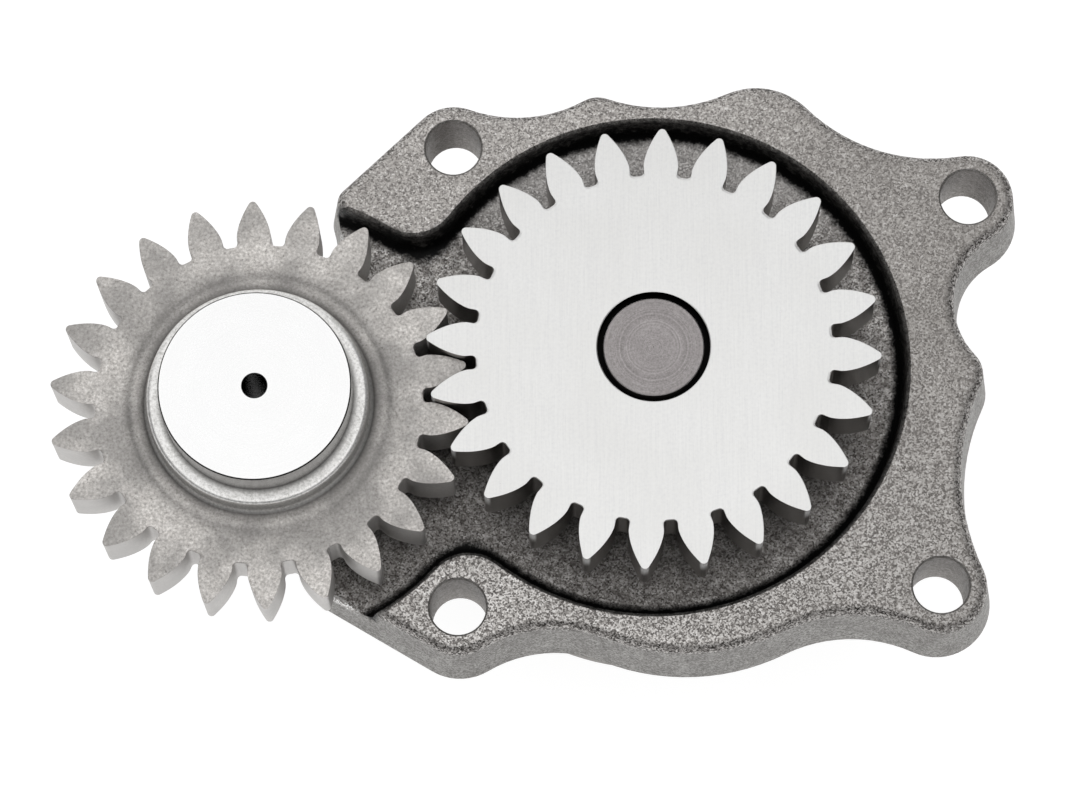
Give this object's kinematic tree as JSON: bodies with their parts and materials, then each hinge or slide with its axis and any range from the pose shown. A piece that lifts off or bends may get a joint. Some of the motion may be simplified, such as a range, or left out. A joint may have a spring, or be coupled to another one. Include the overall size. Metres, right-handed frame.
{
  "type": "engine oil pump",
  "caption": "Gear-driven gerotor oil pump: flanged cast body, open spur drive gear on the pump shaft, idler gear on a headed pin.",
  "frame": {"origin": "on the drive axis, in the flange's rear face, which seats on the engine", "axes": "+Z along both gear axes towards the gears, +X from the idler side to the drive side, +Y up in the picture"},
  "size_m": [0.1559, 0.097, 0.0695],
  "materials": {
    "cast_body": "shot-blasted as-cast iron, machined seats",
    "ground_plate": "ground flat",
    "black_screws": "black oxide",
    "hardened_pins": "ground",
    "bronze_bush": "bored bronze",
    "turned_shaft": "turned and ground",
    "ground_gear": "ground face, bright",
    "sintered_rotors": "sintered and ground",
    "sintered_gear": "matt sintered steel",
    "polished_pin": "finely turned",
    "hardened_washer": "ground"
  },
  "bodies": {
    "housing": {"pump_body": "cast_body", "back_plate": "ground_plate", "back_plate_screws": "black_screws", "back_plate_dowels": "hardened_pins", "front_shaft_bush": "bronze_bush", "rear_shaft_bush": "bronze_bush", "idler_pin": "polished_pin", "idler_thrust_washer": "hardened_washer"},
    "drive_train": {"drive_shaft": "turned_shaft", "drive_gear": "ground_gear", "inner_rotor": "sintered_rotors"},
    "outer_ring": {"outer_rotor": "sintered_rotors"},
    "idler": {"idler_gear": "sintered_gear", "idler_bush": "bronze_bush"}
  },
  "joints": [
    {"name": "drive_spin", "type": "hinge", "parent": "housing", "child": "drive_train", "pos_m": [0, 0, 0], "axis": [0, 0, 1], "continuous": true},
    {"name": "idler_spin", "type": "hinge", "parent": "housing", "child": "idler", "pos_m": [-0.06267, -0.00857, 0], "axis": [0, 0, 1], "continuous": true},
    {"name": "outer_rotor_spin", "type": "hinge", "parent": "housing", "child": "outer_ring", "pos_m": [0, 0.0026, 0], "axis": [0, 0, 1], "continuous": true}
  ],
  "couplings": [
    {"joint": "idler_spin", "follows": "drive_spin", "ratio": -1.0909},
    {"joint": "outer_rotor_spin", "follows": "drive_spin", "ratio": 0.85714}
  ]
}
